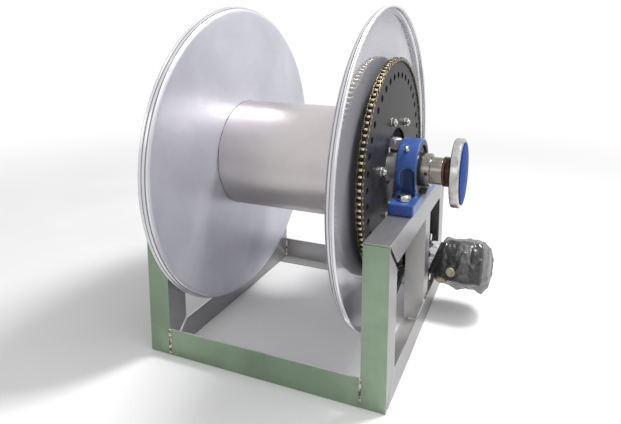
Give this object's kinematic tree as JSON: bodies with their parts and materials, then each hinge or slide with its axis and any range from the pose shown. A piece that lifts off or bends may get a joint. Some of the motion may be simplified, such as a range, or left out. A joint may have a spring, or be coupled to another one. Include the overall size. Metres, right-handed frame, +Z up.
{
  "type": "powered fire hose reel",
  "caption": "Chain-driven hose drum between dished discs, in pillow-block bearings on an open welded angle frame, with a capped flange inlet and a bagged hydraulic motor.",
  "frame": {"origin": "on the floor, at the centre of the whole reel's box", "axes": "+Z up, +X along the drum's axis towards the drive side and the inlet flange, -Y towards the front"},
  "size_m": [0.7102, 0.72, 0.76],
  "materials": {
    "satin_stainless": "satin",
    "brushed_stainless": "brushed",
    "machined_steel": "machined",
    "bearing_steel": "ground",
    "blackened_plate": "satin black",
    "bronzed_chain": "oiled bronze",
    "zinc_plated": "bright zinc",
    "blue_casting": "satin paint",
    "blue_plastic": "gloss",
    "heat_blued_steel": "heat tinted",
    "black_iron": "satin black",
    "black_rubber": "matt",
    "yellow_plastic": "matt",
    "clear_film": "clear film",
    "black_nylon": "matt"
  },
  "bodies": {
    "root": {"cable_tie": "black_nylon", "drive_chain": "bronzed_chain", "front_cross_rail": "brushed_stainless", "left_bearing_bolt_front": "zinc_plated", "left_bearing_bolt_rear": "zinc_plated", "left_bearing_housing": "blue_casting", "left_bottom_rail": "brushed_stainless", "left_front_post": "brushed_stainless", "left_outer_race": "bearing_steel", "left_rear_post": "brushed_stainless", "left_top_beam": "brushed_stainless", "motor_body": "black_iron", "motor_bolt_lower": "zinc_plated", "motor_bolt_upper": "zinc_plated", "motor_end_cover": "black_iron", "motor_film": "clear_film", "motor_gear_ring": "black_iron", "motor_plate": "brushed_stainless", "port_plug_1": "yellow_plastic", "port_plug_2": "yellow_plastic", "rear_cross_rail": "brushed_stainless", "right_bearing_bolt_front": "zinc_plated", "right_bearing_bolt_rear": "zinc_plated", "right_bearing_housing": "blue_casting", "right_bottom_rail": "brushed_stainless", "right_front_post": "brushed_stainless", "right_middle_post": "brushed_stainless", "right_outer_race": "bearing_steel", "right_rear_post": "brushed_stainless", "right_top_beam": "brushed_stainless"},
    "reel": {"drum_shell": "satin_stainless", "left_disc": "satin_stainless", "right_disc": "satin_stainless", "left_hub": "machined_steel", "right_hub": "machined_steel", "left_stub_shaft": "machined_steel", "hollow_shaft": "machined_steel", "left_inner_race": "bearing_steel", "right_inner_race": "bearing_steel", "left_set_screw": "black_iron", "right_set_screw": "black_iron", "drum_sprocket": "blackened_plate", "sprocket_stud_1": "zinc_plated", "sprocket_stud_2": "zinc_plated", "sprocket_stud_3": "zinc_plated", "sprocket_stud_4": "zinc_plated", "sprocket_stud_5": "zinc_plated", "sprocket_stud_6": "zinc_plated", "outlet_elbow": "satin_stainless", "hose_coupling": "heat_blued_steel", "blowdown_plug": "machined_steel", "blowdown_seal": "black_rubber"},
    "motor_rotor": {"motor_sprocket": "blackened_plate", "motor_shaft": "machined_steel"},
    "left_cage": {"left_ball_cage": "bearing_steel"},
    "right_cage": {"right_ball_cage": "bearing_steel"},
    "swivel": {"swivel_sleeve": "heat_blued_steel", "swivel_seal": "black_rubber", "inlet_flange": "machined_steel"},
    "cap": {"flange_cap": "blue_plastic"}
  },
  "joints": [
    {"name": "reel_spin", "type": "hinge", "parent": "root", "child": "reel", "pos_m": [-0.0699, 0, 0.4], "axis": [1, 0, 0], "continuous": true},
    {"name": "motor_spin", "type": "hinge", "parent": "root", "child": "motor_rotor", "pos_m": [0.1351, 0.14907, 0.13107], "axis": [1, 0, 0], "continuous": true},
    {"name": "left_cage_spin", "type": "hinge", "parent": "root", "child": "left_cage", "pos_m": [-0.3074, 0, 0.4], "axis": [1, 0, 0], "continuous": true},
    {"name": "right_cage_spin", "type": "hinge", "parent": "root", "child": "right_cage", "pos_m": [0.1811, 0, 0.4], "axis": [1, 0, 0], "continuous": true},
    {"name": "swivel_turn", "type": "hinge", "parent": "reel", "child": "swivel", "pos_m": [0.2697, 0, 0.4], "axis": [1, 0, 0], "continuous": true},
    {"name": "cap_pull", "type": "slide", "parent": "swivel", "child": "cap", "axis": [1, 0, 0], "range_m": [0, 0.04]}
  ],
  "couplings": [
    {"joint": "motor_spin", "follows": "reel_spin", "ratio": 8},
    {"joint": "left_cage_spin", "follows": "reel_spin", "ratio": 0.41},
    {"joint": "right_cage_spin", "follows": "reel_spin", "ratio": 0.41}
  ]
}
